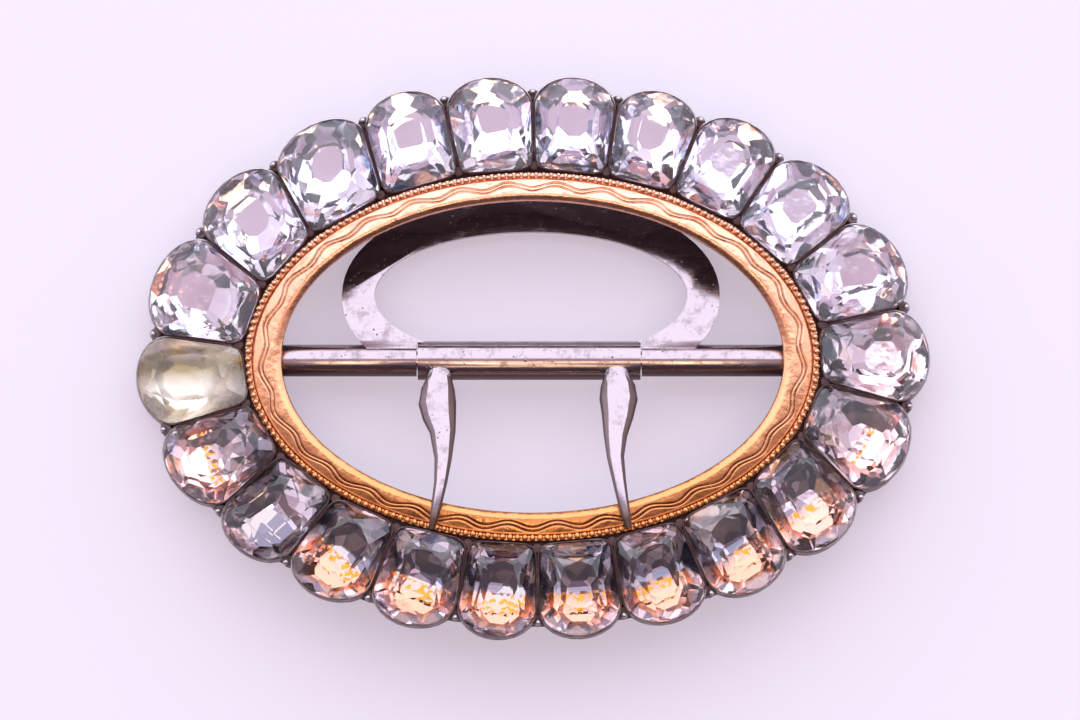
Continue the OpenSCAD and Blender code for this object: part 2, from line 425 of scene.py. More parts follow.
def between(tree, value, low, high, to_low=0.0, to_high=1.0):
    """Maps a value from one range to another, clamped."""
    step = tree.nodes.new("ShaderNodeMapRange")
    for socket, number in zip(step.inputs, (value, low, high, to_low, to_high)):
        connect(tree, number, socket)
    return step.outputs[0]


def blend(tree, share, first, second):
    """Mixes two colours."""
    step = tree.nodes.new("ShaderNodeMix")
    step.data_type = "RGBA"
    connect(tree, share, step.inputs[0])
    for socket, colour in ((step.inputs[6], first), (step.inputs[7], second)):
        connect(tree, colour if isinstance(colour, bpy.types.NodeSocket) else (*colour, 1), socket)
    return step.outputs[2]


def relief(tree, shader, height, depth):
    """Bump whose full height is a depth in metres."""
    step = tree.nodes.new("ShaderNodeBump")
    step.inputs["Distance"].default_value = depth
    tree.links.new(height, step.inputs["Height"])
    tree.links.new(step.outputs[0], shader.inputs["Normal"])


def stored(tree, name):
    """A number stored on the piece's points."""
    step = tree.nodes.new("ShaderNodeAttribute")
    step.attribute_name = name
    return step.outputs["Fac"]


# Places on Y, in metres: where the painted shade on the prongs' tips begins and where it is full,
# and below which the gold is painted deep and above which it is painted pale, as painted light.
TIP_SHADE_FROM, TIP_SHADE_FULL = -0.0128, -0.0142
PAINTED_DEEP_BELOW, PAINTED_PALE_ABOVE = -0.007, 0.021


def steel_finish():
    """Polished steel, finely pitted, with lengthwise scratches, brown stains and painted shade on
    tips and sides.
    """
    steel = sizes("buckle_steel")
    material, tree, shader, where = finish("pitted steel")
    stains = between(tree, noise(tree, where, 0.0012, 6, 0.72), 0.5, 0.72)
    pits = between(tree, spots(tree, where, 0.00055), 0.24, 0.1)
    some = between(tree, noise(tree, where, 0.0013, 3), 0.5, 0.6)
    pits = calc(tree, "MULTIPLY", pits, some)
    scratches = noise(tree, stretched(tree, where, 0.12, 1, 1), 0.00022, 4)
    # Painted shade: the prongs' tips darken towards -Y.
    tips = between(tree, axes(tree, where)["Y"], TIP_SHADE_FROM, TIP_SHADE_FULL, 0, 0.97)
    # The stains and pits are real; the tips and the marked sides mixed in with them are painted
    # shade.
    stains_and_painted_shade = calc(tree, "MULTIPLY", stains, 0.6)
    for mark in (pits, tips, stored(tree, "side")):
        stains_and_painted_shade = calc(tree, "MAXIMUM", stains_and_painted_shade, mark)
    tree.links.new(blend(tree, stains_and_painted_shade, steel.steel, steel.pit_and_shade), shader.inputs["Base Color"])
    shader.inputs["Metallic"].default_value = 1
    rough = calc(tree, "ADD", between(tree, scratches, 0.3, 0.7, 0.12, 0.22),
                 calc(tree, "MULTIPLY", stains_and_painted_shade, 0.3))
    tree.links.new(rough, shader.inputs["Roughness"])
    height = calc(tree, "SUBTRACT", calc(tree, "MULTIPLY", scratches, 0.25), pits)
    relief(tree, shader, height, 0.000012)
    return material


def gold_finish():
    """Rose gold, darkest in grooves, painted light: pale towards +Y, deep orange towards -Y."""
    rim = sizes("buckle_rim")
    material, tree, shader, where = finish("chased rose gold")
    worn = noise(tree, where, 0.0016, 4, 0.6)
    height = stored(tree, "relief")
    ground = between(tree, calc(tree, "ADD", height, calc(tree, "MULTIPLY", worn, 0.3)), 0.95, 0.45)
    # Painted light: pale towards +Y, deep orange towards -Y.
    uneven = calc(tree, "ADD", axes(tree, where)["Y"], calc(tree, "MULTIPLY", worn, 0.008))
    painted_light_share = between(tree, uneven, PAINTED_DEEP_BELOW, PAINTED_PALE_ABOVE)
    high = blend(tree, painted_light_share, rim.gold, rim.pale)
    deep = blend(tree, painted_light_share, rim.ground, rim.pale_lit_ground)
    tree.links.new(blend(tree, ground, high, deep), shader.inputs["Base Color"])
    shader.inputs["Metallic"].default_value = 1
    tree.links.new(between(tree, worn, 0.3, 0.7, 0.2, 0.34), shader.inputs["Roughness"])
    dents = calc(tree, "MULTIPLY", noise(tree, where, 0.0019, 2), 2.5)
    relief(tree, shader, calc(tree, "ADD", noise(tree, where, 0.0005, 3), dents), 0.000045)
    return material


def silver_finish():
    """Old silver, bright on its worn edges and brown in its recesses, partly painted shade."""
    setting = sizes("buckle_setting")
    material, tree, shader, where = finish("old silver")
    worn = noise(tree, where, 0.0011, 4, 0.6)
    rubbed = between(tree, calc(tree, "ADD", stored(tree, "rubbed"), worn), 0.75, 1.35)
    tree.links.new(blend(tree, rubbed, setting.tarnish_and_shade, setting.silver),
                   shader.inputs["Base Color"])
    tree.links.new(between(tree, rubbed, 0, 0.5, 0.3, 1), shader.inputs["Metallic"])
    tree.links.new(between(tree, rubbed, 0, 1, 0.65, 0.25), shader.inputs["Roughness"])
    relief(tree, shader, noise(tree, where, 0.0004, 4), 0.00004)
    return material


def glass_finish(name, colour, roughness):
    """Lead glass."""
    material, tree, shader, where = finish(name)
    shader.inputs["Base Color"].default_value = (*colour, 1)
    shader.inputs["Transmission Weight"].default_value = 1
    shader.inputs["IOR"].default_value = 1.6
    tree.links.new(between(tree, noise(tree, where, 0.0015), 0.55, 0.75, roughness,
                           roughness + 0.06), shader.inputs["Roughness"])
    return material


# The foil's tints, facet by facet: from this share on, and the colour.
PATINA = ((0.0, (0.34, 0.41, 0.58)), (0.08, (0.72, 0.68, 0.73)), (0.2, (0.98, 0.97, 0.99)),
          (0.62, (0.88, 0.83, 0.92)), (0.72, (0.99, 0.98, 0.99)), (0.95, (0.88, 0.60, 0.58)))
AGED = ((0.0, (0.15, 0.15, 0.20)), (0.22, (0.42, 0.38, 0.36)), (0.42, (0.20, 0.17, 0.21)),
        (0.65, (0.56, 0.51, 0.55)), (0.78, (0.27, 0.22, 0.22)), (0.92, (0.90, 0.82, 0.88)))
MILK = ((0.0, (0.93, 0.85, 0.82)), (0.35, (0.84, 0.78, 0.74)), (0.7, (0.97, 0.91, 0.90)))
OLIVE = ((0.0, (0.40, 0.31, 0.15)), (0.5, (0.55, 0.45, 0.26)))
CREAM = (0.97, 0.88, 0.76)
# Painted highlight: the orange of the foil's sparks, glints of the warm light.
PAINTED_SPARK = (0.62, 0.25, 0.02)
# Where the sparks lie along a stone, how far from there they fade, and the depths they start at.
SPARKS_AT = -0.03
SPARKS_FADE = (0.13, 0.07)
SPARKS_DEPTH = (0.7, 0.8)
# Past any stone's inner end, so that foil aged from here on is aged right to that end.
INNER_END = -9


def tinted(tree, share, tints):
    """The colour of a share in a list of tints."""
    ramp = tree.nodes.new("ShaderNodeValToRGB")
    ramp.color_ramp.interpolation = "CONSTANT"
    marks = ramp.color_ramp.elements
    while len(marks) > 1:
        marks.remove(marks[-1])
    marks[0].color = (*tints[0][1], 1)
    marks[0].position = 0
    for start, colour in tints[1:]:
        marks.new(start).color = (*colour, 1)
    tree.links.new(share, ramp.inputs[0])
    return ramp.outputs[0]


def facet_share(tree, where):
    """A random share for each facet, broken up a little by larger patches."""
    broken = calc(tree, "MULTIPLY", shards(tree, where, 0.0014), 0.4)
    return calc(tree, "FRACT", calc(tree, "ADD", stored(tree, "tint"), broken))


def aged_share(tree, patches, aged_from):
    """How aged the foil is, from a place along the stone to its middle: more on a warm stone."""
    along = stored(tree, "along")
    ragged = calc(tree, "ADD", along, calc(tree, "MULTIPLY", patches, 0.3))
    # Partly painted shade: scaled by the painted warmth, the aged darkening grows down the frame.
    aged = calc(tree, "MULTIPLY", between(tree, ragged, 0.3, -0.05), stored(tree, "warm"))
    return calc(tree, "MULTIPLY", aged, between(tree, along, aged_from - 0.12, aged_from))


def painted_spark_zone(tree, sparkle):
    """Where the foil is crumpled and has painted sparks: in a band across the depth of a warm
    stone.
    """
    off = calc(tree, "ABSOLUTE", calc(tree, "SUBTRACT", stored(tree, "along"), SPARKS_AT))
    zone = calc(tree, "MULTIPLY", between(tree, off, *SPARKS_FADE),
                between(tree, stored(tree, "depth"), *SPARKS_DEPTH, 0, sparkle))
    return calc(tree, "MULTIPLY", zone, between(tree, stored(tree, "warm"), 0.3, 0.7))


def foil_finish(name, tints, aged_tints, middles, roughness, aged_from, sparkle):
    """The foil behind a stone: tinted by facets, with a middle, sparks and an aged inner end."""
    material, tree, shader, where = finish(name)
    share = facet_share(tree, where)
    patches = noise(tree, where, 0.0012, 3)
    # The stored warmth is painted warm light, stronger down the frame: it turns the middle copper.
    warm = stored(tree, "warm")
    middle = blend(tree, warm, *middles)
    deep = calc(tree, "ADD", stored(tree, "depth"), calc(tree, "MULTIPLY", patches, 0.5))
    colour = blend(tree, calc(tree, "MULTIPLY", warm, 0.4), tinted(tree, share, tints), middle)
    colour = blend(tree, between(tree, deep, 0.75, 1.0), colour, middle)
    colour = blend(tree, aged_share(tree, patches, aged_from), colour,
                   tinted(tree, share, aged_tints))
    zone = painted_spark_zone(tree, sparkle)
    bright = calc(tree, "GREATER_THAN", shards(tree, where, 0.00036), 0.66)
    colour = blend(tree, calc(tree, "MULTIPLY", zone, bright), colour, PAINTED_SPARK)
    tree.links.new(colour, shader.inputs["Base Color"])
    shader.inputs["Metallic"].default_value = 0.88
    tree.links.new(between(tree, patches, 0.4, 0.7, roughness, roughness + 0.08),
                   shader.inputs["Roughness"])
    crumpled = calc(tree, "MULTIPLY", zone, spots(tree, where, 0.00055))
    crumpled = calc(tree, "MULTIPLY", crumpled, 2.5)
    relief(tree, shader, calc(tree, "ADD", crumpled, noise(tree, where, 0.0012, 2)), 0.000014)
    return material


def floor_finish():
    """Smooth pale card, lit from behind as well."""
    material, tree, shader, where = finish("pale card")
    stage = sizes("buckle_stage")
    grain = noise(tree, where, 0.0006, 4)
    darker = [0.985 * value for value in stage.floor]
    tree.links.new(blend(tree, grain, stage.floor, darker), shader.inputs["Base Color"])
    shader.inputs["Roughness"].default_value = 0.75
    shader.inputs["Emission Color"].default_value = (*stage.glow, 1)
    shader.inputs["Emission Strength"].default_value = 1
    relief(tree, shader, grain, 0.00001)
    return material


# Stones

class Cut:
    """Where a stone sits: its middle at the girdle, its three axes and its outline."""

    def __init__(self, node):
        stones = sizes("buckle_stones")
        self.face = solid_copy(node, node + "_outline")
        faces = self.face.data.polygons
        self.up = max(faces, key=lambda face: face.normal.z).normal.copy()
        top = max(vertex.co.dot(self.up) for vertex in self.face.data.vertices)
        girdle = top - in_mm(stones.crown)
        edit(self.face)
        bpy.ops.mesh.bisect(plane_co=self.up * (girdle - in_mm(stones.girdle) / 2),
                            plane_no=self.up, use_fill=True, clear_inner=True, clear_outer=True,
                            threshold=0.0001)
        bpy.ops.mesh.select_all(action="SELECT")
        bpy.ops.mesh.remove_doubles(threshold=0.02)
        # Cutting each corner of the outline once rounds its arcs.
        bpy.ops.mesh.bevel(offset_type="PERCENT", offset_pct=25, segments=1, affect="VERTICES")
        rest()
        corners = [vertex.co.copy() for vertex in self.face.data.vertices]
        self.points = [spot + self.up * (girdle - spot.dot(self.up)) for spot in corners]
        self.middle = sum(self.points, Vector()) / len(self.points)
        self.outward = max((self.heading(turn) for turn in range(0, 180, 2)), key=self.spread)
        if self.outward.dot(self.middle) < 0:
            self.outward.negate()
        self.across = self.outward.cross(self.up)

    def heading(self, turn):
        """A direction in the girdle's plane, turned about Z."""
        flat = Vector((math.cos(math.radians(turn)), math.sin(math.radians(turn)), 0))
        return (flat - self.up * flat.dot(self.up)).normalized()

    def spread(self, aim):
        """How far the outline spreads along a direction."""
        return sum((point - self.middle).dot(aim) ** 2 for point in self.points)

    def aim(self, turn):
        """A direction in the girdle's plane, turned from the outer end."""
        return (self.outward * math.cos(math.radians(turn))
                + self.across * math.sin(math.radians(turn)))

    def reach(self, points, aim):
        """How far points reach from the middle in a direction."""
        return max((point - self.middle).dot(aim) for point in points)

    def turn_of(self, point):
        """Where a point lies round the stone, as an angle from the outer end."""
        out = point - self.middle
        return math.atan2(out.dot(self.across), out.dot(self.outward))


def slice_off(point, normal):
    """Cuts away what lies outside a plane and closes the cut."""
    bpy.ops.mesh.select_all(action="SELECT")
    bpy.ops.mesh.bisect(plane_co=point, plane_no=normal, use_fill=True, clear_outer=True,
                        threshold=0.0001)


def grind(point, normal):
    """Grinds one facet on a stone, which has no hollows."""
    bpy.ops.mesh.select_all(action="SELECT")
    bpy.ops.mesh.bisect(plane_co=point, plane_no=normal, clear_outer=True, threshold=0.0001)
    close_hull()


def close_hull():
    """Closes a stone round its points and makes each facet one face."""
    bpy.ops.mesh.select_all(action="SELECT")
    bpy.ops.mesh.convex_hull()
    bpy.ops.mesh.select_all(action="SELECT")
    bpy.ops.mesh.dissolve_limited(angle_limit=math.radians(0.4))


def facet(cut, points, turn, slope, height, side, bite):
    """Grinds a facet that leans at a slope and starts a bite inside the points' outer reach."""
    aim = cut.aim(turn)
    lean = math.radians(slope)
    grind(cut.middle + aim * (cut.reach(points, aim) - bite) + cut.up * height,
          aim * math.sin(lean) + cut.up * side * math.cos(lean))


# The crown's main facets: turn from the outer end, and slope.
MAINS = ((0, 37), (90, 43), (180, 46), (270, 43), (45, 42), (135, 45), (225, 45), (315, 42))
# The stars' slope, how far they bite into the table, and the skirt facets' slope.
STAR_SLOPE = 24
STAR_BITE = 0.42
SKIRT_SLOPE = 58
# The culet's share of the stone's breadth, and how much of the depth it takes off.
CULET_SHARE = 0.2
CULET_CUT = 0.14
# The culet's lean in degrees at the frame's middle, and how much more it is this far below that.
CULET_LEAN = 5
CULET_LEAN_MORE = 4
CULET_LEAN_RUN = 26.5
# How far a stone reaches under its collet's lip, in millimetres and as a growth of its outline.
UNDER_LIP = 0.05
LIP_HOLD = 1.014


def cut_stone(cut, name, dice):
    """Cuts a stone: table, eight mains, eight stars and sixteen skirt facets, over a pavilion."""
    stones = sizes("buckle_stones")
    crown, pavilion, edge = in_mm(stones.crown), in_mm(stones.pavilion), in_mm(stones.girdle)
    take(cut.face)
    bpy.ops.object.duplicate()
    piece = named(name)
    bpy.ops.transform.resize(value=(LIP_HOLD, LIP_HOLD, LIP_HOLD), center_override=cut.middle)
    move(*(cut.up * -(pavilion - edge / 2)))
    extrude(*(cut.up * (crown + pavilion)))
    close_hull()
    for turn, slope in MAINS:
        facet(cut, cut.points, turn + dice.uniform(-4, 4), slope + dice.uniform(-3, 3), 0, 1,
              dice.uniform(-0.02, 0.05) - UNDER_LIP)
    shape = bmesh.from_edit_mesh(piece.data)
    table = [v.co.copy() for v in shape.verts if (v.co - cut.middle).dot(cut.up) > crown - 0.01]
    for turn in range(22, 360, 45):
        facet(cut, table, turn + dice.uniform(-5, 5), STAR_SLOPE + dice.uniform(-3, 3), crown, 1,
              STAR_BITE + dice.uniform(-0.15, 0.1))
    for turn in range(11, 360, 22):
        facet(cut, cut.points, turn + dice.uniform(-3, 3), SKIRT_SLOPE + dice.uniform(-3, 2), 0, 1,
              dice.uniform(0, 0.06) - UNDER_LIP)
    for turns, steeper in ((range(0, 360, 45), 0), (range(11, 360, 22), 6)):
        for turn in turns:
            reach = cut.reach(cut.points, cut.aim(turn))
            slope = math.degrees(math.atan(pavilion / reach / (1 - CULET_SHARE)))
            facet(cut, cut.points, turn + dice.uniform(-3, 3),
                  slope + steeper + dice.uniform(-1, 2), -edge, -1, 0)
    # The culet's foil faces a little inwards, most of all at the bottom of the frame.
    below = -cut.middle.y / CULET_LEAN_RUN
    lean = math.radians(CULET_LEAN + CULET_LEAN_MORE * below + dice.uniform(-2, 2))
    grind(cut.middle - cut.up * (pavilion - CULET_CUT),
          cut.outward * math.sin(lean) - cut.up * math.cos(lean))
    bpy.ops.mesh.select_all(action="SELECT")
    bpy.ops.mesh.remove_doubles(threshold=0.01)
    close_hull()
    rest()
    return piece


# How much older than its neighbours' a stone's foil is.
OLDER = {"stone_15": 0.5}
# Painted warm light: the foil's warmth at the frame's middle, and the run down it that adds one.
PAINTED_WARMTH_MIDDLE = 0.4
PAINTED_WARMTH_RUN = 26
HALF_STONE = 4.5


def line_with_foil(piece, cut, dice, toward, warm, older):
    """Gives the pavilion's faces the foil, and stores where they lie and how aged they are."""
    pavilion = in_mm(sizes("buckle_stones").pavilion)
    tint = piece.data.attributes.new("tint", "FLOAT", "FACE")
    # A hull's faces come in no fixed order, so the tints are dealt out round the stone.
    for face in sorted(piece.data.polygons, key=lambda face: cut.turn_of(face.center)):
        face.material_index = 1 if face.normal.dot(cut.up) < -0.1 else 0
        tint.data[face.index].value = dice.random()
    stored_at = {name: piece.data.attributes.new(name, "FLOAT", "POINT")
                 for name in ("depth", "along", "warm")}
    for number, vertex in enumerate(piece.data.vertices):
        out = vertex.co - cut.middle
        stored_at["depth"].data[number].value = -out.dot(cut.up) / pavilion
        stored_at["along"].data[number].value = out.dot(toward) / HALF_STONE - older
        stored_at["warm"].data[number].value = warm


class BUCKLE_OT_stones(bpy.types.Operator):
    """Cuts the paste stones and lines them with foil"""

    bl_idname = "buckle.stones"
    bl_label = "Stones"

    def execute(self, context):
        stones = sizes("buckle_stones")
        clear = glass_finish("clear paste", stones.glass, 0.0)
        murky = glass_finish("murky paste", (0.98, 0.96, 0.93), 0.2)
        rosy = foil_finish("rosy foil", PATINA, AGED, (stones.lilac, stones.copper), 0.02,
                           INNER_END, 1)
        blind = foil_finish("blind foil", MILK, OLIVE, (CREAM, CREAM), 0.25, -0.36, 0)
        dice = random.Random(stones.seed)
        for node in STONES:
            cut = Cut(node)
            name = node.replace("stone", "paste")
            piece = cut_stone(cut, name, dice)
            if node == "stone_17":
                looks, toward, warm = [murky, blind], Vector((0, -1, 0)), 1
            else:
                looks, toward = [clear, rosy], cut.outward
                # Painted warm light: the foil warms down the frame.
                warm = clamped(PAINTED_WARMTH_MIDDLE - cut.middle.y / PAINTED_WARMTH_RUN)
            line_with_foil(piece, cut, dice, toward, warm, OLDER.get(node, 0))
            bpy.data.objects.remove(cut.face)
            hand_over(piece, "frame", [node], looks)
        return {"FINISHED"}


# Setting

def oval_ring(name, rows, sides):
    """A ring turned from rows of half length, half width and height, closed on itself."""
    bpy.ops.mesh.primitive_circle_add(vertices=sides, radius=1)
    piece = named(name)
    bpy.ops.mesh.select_mode(type="EDGE")
    bpy.ops.mesh.select_all(action="SELECT")
    last = (1, 1, 0)
    for number, row in enumerate(list(rows) + [rows[0]]):
        if number:
            extrude()
        scale(row[0] / last[0], row[1] / last[1], 1)
        move(0, 0, row[2] - last[2])
        last = row
    tidy_normals(piece)
    return piece


# The lip of a collet, from its outer wall to the glass: step inwards and step up.
LIP = ((0.02, 0.12), (0.03, 0.1), (0.06, 0.03), (0.04, -0.03), (0.03, -0.08), (0.02, -0.3))
LIP_FOOT = 3.12
POCKET_STEP = 0.15
BACK_ROUNDING = 0.15


def collet(cut):
    """One closed collet: walls, rounded lip, pocket and rounded back, modelled flat."""
    arch = sizes("buckle_arch")
    back = in_mm(arch.cell_back)
    take(cut.face)
    bpy.ops.object.duplicate()
    piece = named("collet")
    scale(1, 1, 0)
    move(0, 0, -back)
    extrude(z=LIP_FOOT + back)
    bpy.ops.mesh.select_all(action="SELECT")
    bpy.ops.mesh.normals_make_consistent(inside=False)
    choose("FACE", lambda face: abs(face.normal.z) < 0.5)
    bpy.ops.transform.shrink_fatten(value=in_mm(sizes("buckle_setting").wall),
                                    use_even_offset=True)
    choose("FACE", lambda face: face.normal.z > 0.5)
    for inwards, up in LIP:
        bpy.ops.mesh.inset(thickness=inwards, depth=up)
    floor = LIP_FOOT + sum(up for _, up in LIP)
    bpy.ops.mesh.inset(thickness=POCKET_STEP, depth=in_mm(arch.sheet) - floor)
    choose("FACE", lambda face: face.normal.z < -0.5)
    bpy.ops.mesh.bevel(offset=BACK_ROUNDING, segments=3)
    rest()
    return piece


def ball(radius, x, y, z):
    """A small ball of silver."""
    bpy.ops.mesh.primitive_uv_sphere_add(segments=16, ring_count=8, radius=radius,
                                         location=(x, y, z))
    return seated("grain")


POST_ROUNDING = 0.15


def post(radius, x, y, top):
    """A post with a rounded top, from the frame's back up."""
    bpy.ops.mesh.primitive_cylinder_add(vertices=24, radius=radius, depth=top,
                                        location=(x, y, top / 2))
    named("post")
    choose("FACE", lambda face: face.normal.z > 0.5)
    bpy.ops.mesh.bevel(offset=POST_ROUNDING, segments=3)
    return seated("post")


def seated(name):
    """Puts the place of the piece just made into its mesh."""
    rest()
    piece = bpy.context.view_layer.objects.active
    take(piece)
    bpy.ops.object.transform_apply(location=True, rotation=True, scale=True)
    piece.name = name
    return piece


# The ring under the gold and the sheet behind the collets: how far the ring stands back from the
# opening and reaches out past the gold, its height, the sheet's half length and half width, and the
# chamfer on their edges.
RING_BACK = 0.4
RING_OUT = 0.8
RING_TOP = 2.4
SHEET_HALF = (33.7, 23.4)
CHAMFER = 0.1


def grown(oval, step):
    """An oval's half length and half width, both grown by a step."""
    return (oval[0] + step, oval[1] + step)


def ring_rows():
    """The section of the ring under the gold rim and of the sheet behind the collets."""
    sheet = in_mm(sizes("buckle_arch").sheet)
    gold, opening = oval_edges()
    inside, outside = grown(opening, RING_BACK), grown(gold, RING_OUT)
    inside_chamfer = grown(inside, CHAMFER)
    sheet_chamfer = grown(SHEET_HALF, -CHAMFER)
    return ((*inside, CHAMFER), (*inside, RING_TOP - CHAMFER), (*inside_chamfer, RING_TOP),
            (*grown(outside, -CHAMFER), RING_TOP), (*outside, RING_TOP - CHAMFER),
            (*outside, sheet), (*sheet_chamfer, sheet), (*SHEET_HALF, sheet - CHAMFER),
            (*SHEET_HALF, CHAMFER), (*sheet_chamfer, 0), (*inside_chamfer, 0))


def spindle_height():
    """Height of the spindle's axis above the floor, in millimetres."""
    low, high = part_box("spindle")
    return in_mm(low.z + high.z) / 2


BOSS_RADIUS = 1.5
BOSS_LENGTH = 3.6
BOSS_ROUNDING = 0.12
# How far below the gold's underside the boss is cut off.
BOSS_UNDER = 0.05


def spindle_boss(side):
    """The boss round one end of the spindle, under the gold rim."""
    rim = sizes("buckle_rim")
    middle = side * (in_mm(rim.opening_half_length) + RING_BACK + BOSS_LENGTH / 2)
    bpy.ops.mesh.primitive_cylinder_add(vertices=48, radius=BOSS_RADIUS, depth=BOSS_LENGTH,
                                        location=(middle, 0, spindle_height()),
                                        rotation=(0, math.pi / 2, 0))
    piece = seated("boss")
    edit(piece)
    choose("FACE", lambda face: abs(face.normal.x) > 0.9)
    bpy.ops.mesh.bevel(offset=BOSS_ROUNDING, segments=2)
    slice_off(Vector((middle, 0, arch_height(middle, in_mm(rim.foot) - BOSS_UNDER))), UP)
    tidy_normals(piece)
    return piece


def above_back(point, axis):
    """Height of a point above the frame's back."""
    return math.hypot(point.x, point.z - axis) - in_mm(sizes("buckle_arch").radius)


# Only the grains stand higher than this above the frame's back, and further apart than this gap.
GRAINS_ABOVE = 3.47
GRAIN_GAP = 1.5


def grain_spots():
    """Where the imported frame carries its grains, the only places that stand above the lips."""
    axis = arch_axis()
    points = [vertex.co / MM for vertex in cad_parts["setting"].data.vertices]
    high = [point for point in points if above_back(point, axis) > GRAINS_ABOVE]
    high.sort(key=lambda point: math.atan2(point.y, point.x))
    groups = [[high[0]]]
    for point in high[1:]:
        if (point - groups[-1][-1]).length > GRAIN_GAP:
            groups.append([])
        groups[-1].append(point)
    if (high[0] - high[-1]).length < GRAIN_GAP:
        groups[0] += groups.pop()
    return [sum(group, Vector()) / len(group) for group in groups]


def inner_corners(cuts):
    """Where neighbouring collets part, next to the gold rim."""
    spots = []
    for cut, following in zip(cuts, cuts[1:] + cuts[:1]):
        near = [max(one.points, key=lambda point: (point - one.middle).dot(one.aim(turn)))
                for one, turn in ((cut, 150), (following, -150))]
        spots.append((near[0] + near[1]) / 2)
    return spots


# The posts in the inner corners, and how far inside a grain's place it and its post are set.
WEB_RADIUS = 0.45
POST_SHIFT = 0.55
GRAIN_SHIFT = 0.3
# How far below the girdle the grains' posts end, and the grains' middles and the webs' tops lie.
POST_BELOW = 0.2
GRAIN_BELOW = 0.1


class BUCKLE_OT_setting(bpy.types.Operator):
    """Makes the silver collets, their backs, the grains and the ring that carries the gold"""

    bl_idname = "buckle.setting"
    bl_label = "Setting"

    def execute(self, context):
        setting = sizes("buckle_setting")
        cuts = [Cut(node) for node in STONES]
        parts = [collet(cut) for cut in cuts]
        girdle = in_mm(sizes("buckle_arch").girdle)
        for spot in grain_spots():
            inwards = Vector((spot.x, spot.y, 0)).normalized()
            foot, seat = spot - inwards * POST_SHIFT, spot - inwards * GRAIN_SHIFT
            parts.append(post(in_mm(setting.post), foot.x, foot.y, girdle - POST_BELOW))
            parts.append(ball(in_mm(setting.grain), seat.x, seat.y, girdle - GRAIN_BELOW))
        for spot in inner_corners(cuts):
            parts.append(post(WEB_RADIUS, spot.x, spot.y, girdle - GRAIN_BELOW))
        parts.append(oval_ring("ring", ring_rows(), 180))
        for part in parts:
            carry_up(part)
        parts += [spindle_boss(side) for side in (-1, 1)]
        for cut in cuts:
            bpy.data.objects.remove(cut.face)
        piece = join(parts, "collets")
        store_rubbed(piece)
        smooth(piece, 38)
        hand_over(piece, "frame", ["setting"], [silver_finish()])
        return {"FINISHED"}


# How rubbed the inner crests and the outer walls are, as shares of the crests on the outer edge.
INNER_WEAR = 0.25
OUTER_WEAR = 0.4
# Where the frame's outer edge sets in, as a share of the way out, and over how much it does.
EDGE_FROM = 0.91
EDGE_RUN = 0.04
# How far below the girdle the crests begin, and over what height they come bright.
CREST_BELOW = 0.15
CREST_RUN = 0.2


def store_rubbed(piece):
    """Stores how far each point is rubbed bright: the crests, and less so the outer walls."""
    dark_below = in_mm(sizes("buckle_arch").girdle) - CREST_BELOW
    axis = arch_axis()
    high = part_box("setting")[1] / MM
    rubbed = piece.data.attributes.new("rubbed", "FLOAT", "POINT")
    for number, vertex in enumerate(piece.data.vertices):
        crest = clamped((above_back(vertex.co, axis) - dark_below) / CREST_RUN)
        edge = math.hypot(vertex.co.x / high.x, vertex.co.y / high.y)
        outer = clamped((edge - EDGE_FROM) / EDGE_RUN)
        worn = crest * (INNER_WEAR + (1 - INNER_WEAR) * outer)
        rubbed.data[number].value = max(worn, OUTER_WEAR * outer)


# Gold rim

# The outer and the inner part of the band's section, from its outer foot over to its inner foot:
# share of the way in, and height above the foot.
BAND = ((0, 0.02), (0, 0.6), (0.02, 0.68), (0.17, 0.72), (0.19, 0.7), (0.205, 0.8),
        (0.225, 0.88), (0.245, 0.8), (0.26, 0.74))
BEVEL = ((0.75, 1.03), (0.8, 1.02), (0.84, 0.98), (0.89, 0.9), (0.93, 0.82), (0.955, 0.75),
         (0.975, 0.7), (0.99, 0.62), (1, 0.5), (1, 0.05), (0.985, 0))
BAND_SIDES = 900
# The waved strip between those two: its share of the way in, how far it rises and its rows.
WAVE_FROM, WAVE_TO = 0.28, 0.72
WAVE_RISE = 0.28
WAVE_ROWS = 30
# The two engraved lines: how far each lies from the strip's middle, their width and depth.
WAVE_LINES = (0.2, -0.15)
WAVE_LINE_WIDTH = 0.085
WAVE_DEPTH = 0.09
# The dark channel beside the beads, in shares of the way in: where it sets in and where it fades,
# and how dark it is next to the engraved lines.
CHANNEL_START = (0.16, 0.2)
CHANNEL_END = (0.27, 0.22)
CHANNEL_DARK = 0.6
# How much the oval's turn runs ahead of its length, which grows faster along its sides.
OVAL_LEAD = 0.105
# How far the beads lie inside the edge and above the band's foot, and their radius.
BEAD_INSET = 0.3
BEAD_HEIGHT = 0.78
BEAD_RADIUS = 0.31


def oval_edges():
    """The half length and half width of the gold rim's outer edge, and of its opening."""
    rim = sizes("buckle_rim")
    return ((in_mm(rim.half_length), in_mm(rim.half_width)),
            (in_mm(rim.opening_half_length), in_mm(rim.opening_half_width)))


def band_rows():
    """The rows of the gold band's section, in millimetres."""
    outer, inner = oval_edges()
    foot = in_mm(sizes("buckle_rim").foot)
    waves = []
    for number in range(WAVE_ROWS + 1):
        share = number / WAVE_ROWS
        waves.append((WAVE_FROM + (WAVE_TO - WAVE_FROM) * share,
                      BAND[-1][1] + WAVE_RISE * math.sin(share * math.pi / 2)))
    rows = []
    for share, height in list(BAND) + waves + list(BEVEL):
        rows.append((outer[0] + (inner[0] - outer[0]) * share,
                     outer[1] + (inner[1] - outer[1]) * share, foot + height))
    return rows


